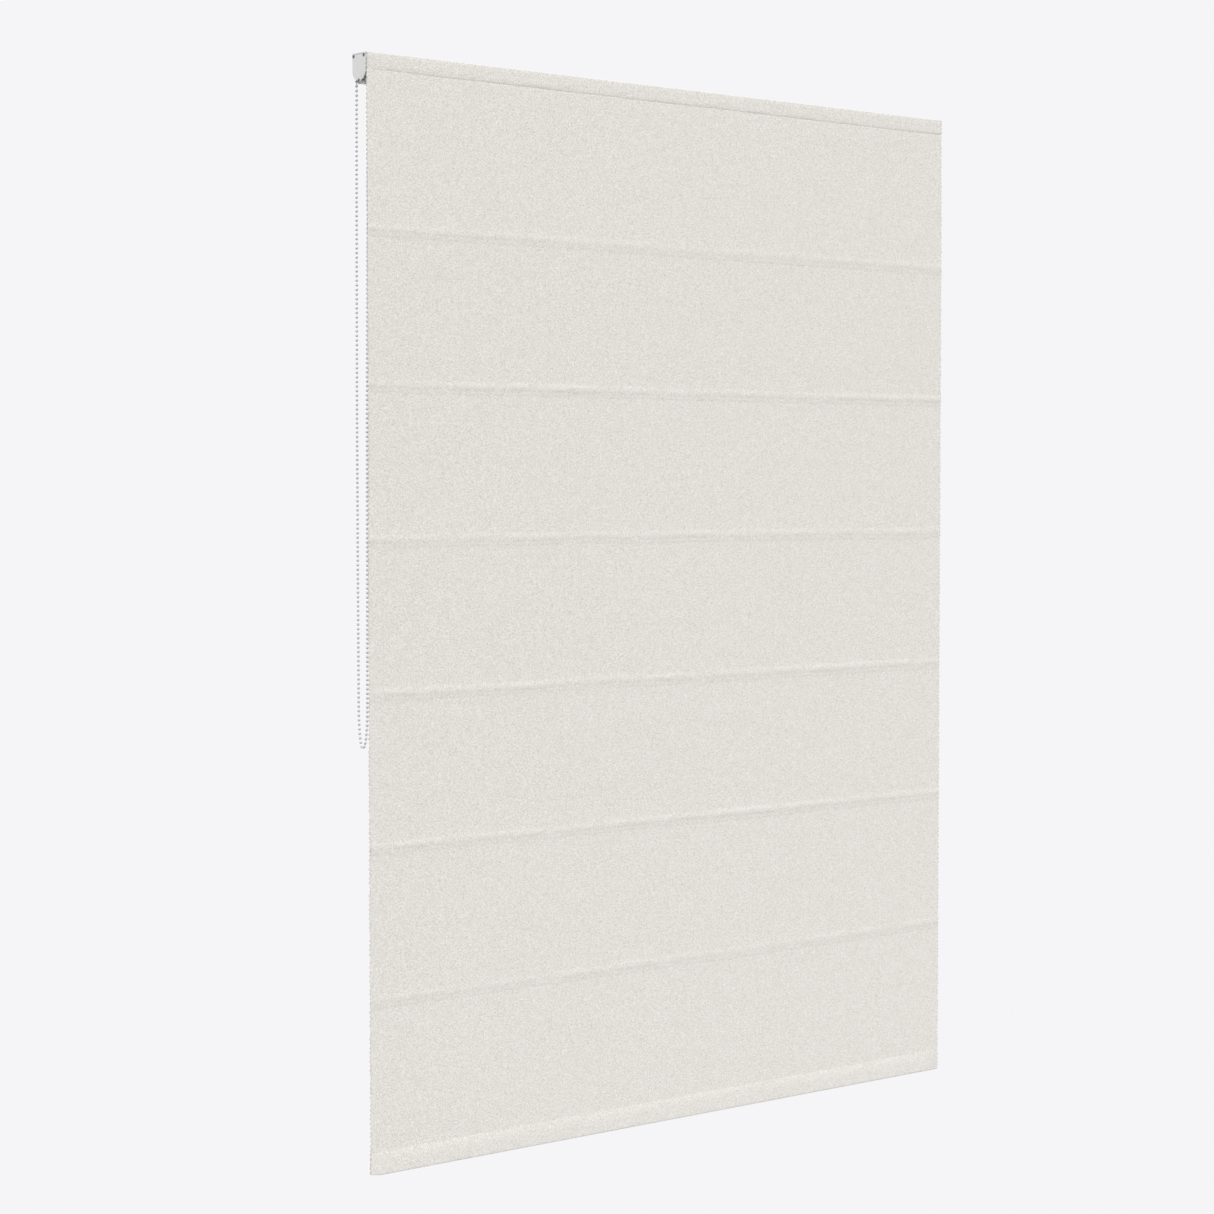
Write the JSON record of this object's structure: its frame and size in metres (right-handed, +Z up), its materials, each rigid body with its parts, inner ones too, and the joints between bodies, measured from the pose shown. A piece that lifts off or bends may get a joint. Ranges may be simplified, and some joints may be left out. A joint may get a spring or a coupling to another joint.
{
  "type": "roman blind",
  "caption": "Roman blind: a plain cloth with stiffened folds hangs from a slim head rail, and an endless bead chain at its left end raises and lowers it.",
  "frame": {"origin": "middle of the wall fixing holes, on the wall", "axes": "+X along the head rail to the right, +Y into the wall, +Z up"},
  "size_m": [1.0841, 0.0379, 1.4716],
  "materials": {
    "cloth": "matte",
    "white_tape": "matte",
    "rail_metal": "satin",
    "bracket_steel": "satin",
    "light_grey_plastic": "satin",
    "dark_grey_plastic": "satin",
    "dark_screw": "satin",
    "bead_plastic": "gloss",
    "white_cord": "matte",
    "white_plastic": "satin",
    "shaft_metal": "satin",
    "spring_steel": "satin",
    "rod_plastic": "satin"
  },
  "bodies": {
    "rail_unit": {"head_rail": "rail_metal", "hook_tape": "white_tape", "loop_tape": "white_tape", "bracket_left": "bracket_steel", "bracket_right": "bracket_steel", "end_cap": "dark_grey_plastic", "control_housing": "dark_grey_plastic", "control_cover": "light_grey_plastic", "cover_screws": "dark_screw", "chain_beads": "bead_plastic", "chain_string": "white_cord", "cradle_left": "white_plastic", "cradle_mid": "white_plastic", "cradle_right": "white_plastic", "cord_left": "white_cord", "cord_mid": "white_cord", "cord_right": "white_cord", "fabric": "cloth"},
    "drive": {"drive_shaft": "shaft_metal", "chain_wheel": "light_grey_plastic", "drive_core": "dark_grey_plastic", "wrap_spring": "spring_steel", "spool_left": "white_plastic", "spool_mid": "white_plastic", "spool_right": "white_plastic", "idle_bush": "white_plastic"},
    "rod_row_1": {"rod_1": "rod_plastic", "pocket_1": "white_tape", "rings_1": "white_plastic"},
    "rod_row_2": {"rod_2": "rod_plastic", "pocket_2": "white_tape", "rings_2": "white_plastic"},
    "rod_row_3": {"rod_3": "rod_plastic", "pocket_3": "white_tape", "rings_3": "white_plastic"},
    "rod_row_4": {"rod_4": "rod_plastic", "pocket_4": "white_tape", "rings_4": "white_plastic"},
    "rod_row_5": {"rod_5": "rod_plastic", "pocket_5": "white_tape", "rings_5": "white_plastic"},
    "rod_row_6": {"rod_6": "rod_plastic", "pocket_6": "white_tape", "rings_6": "white_plastic"},
    "hem_bar": {"bottom_bar": "rail_metal", "bar_caps": "white_plastic", "cord_anchors": "white_plastic"}
  },
  "joints": [
    {"name": "lift", "type": "slide", "parent": "rail_unit", "child": "hem_bar", "axis": [0, 0, 1], "range_m": [0, 1.152], "deforming": ["fabric", "cord_left", "cord_mid", "cord_right"]},
    {"name": "row_1_lift", "type": "slide", "parent": "rail_unit", "child": "rod_row_1", "axis": [0, 0, 1], "range_m": [0, 0.1682]},
    {"name": "row_2_lift", "type": "slide", "parent": "rail_unit", "child": "rod_row_2", "axis": [0, 0, 1], "range_m": [0, 0.3328]},
    {"name": "row_3_lift", "type": "slide", "parent": "rail_unit", "child": "rod_row_3", "axis": [0, 0, 1], "range_m": [0, 0.4975]},
    {"name": "row_4_lift", "type": "slide", "parent": "rail_unit", "child": "rod_row_4", "axis": [0, 0, 1], "range_m": [0, 0.6621]},
    {"name": "row_5_lift", "type": "slide", "parent": "rail_unit", "child": "rod_row_5", "axis": [0, 0, 1], "range_m": [0, 0.8268]},
    {"name": "row_6_lift", "type": "slide", "parent": "rail_unit", "child": "rod_row_6", "axis": [0, 0, 1], "range_m": [0, 0.9914]},
    {"name": "shaft_turn", "type": "hinge", "parent": "rail_unit", "child": "drive", "pos_m": [0, -0.01925, -0.0011], "axis": [-1, 0, 0], "range_deg": [0, 10570], "deforming": ["chain_beads", "chain_string"]}
  ],
  "couplings": [
    {"joint": "row_1_lift", "follows": "lift", "ratio": 0.14554},
    {"joint": "row_2_lift", "follows": "lift", "ratio": 0.28847},
    {"joint": "row_3_lift", "follows": "lift", "ratio": 0.4314},
    {"joint": "row_4_lift", "follows": "lift", "ratio": 0.57432},
    {"joint": "row_5_lift", "follows": "lift", "ratio": 0.71725},
    {"joint": "row_6_lift", "follows": "lift", "ratio": 0.86018},
    {"joint": "shaft_turn", "follows": "lift", "rad_per_m": 160}
  ]
}
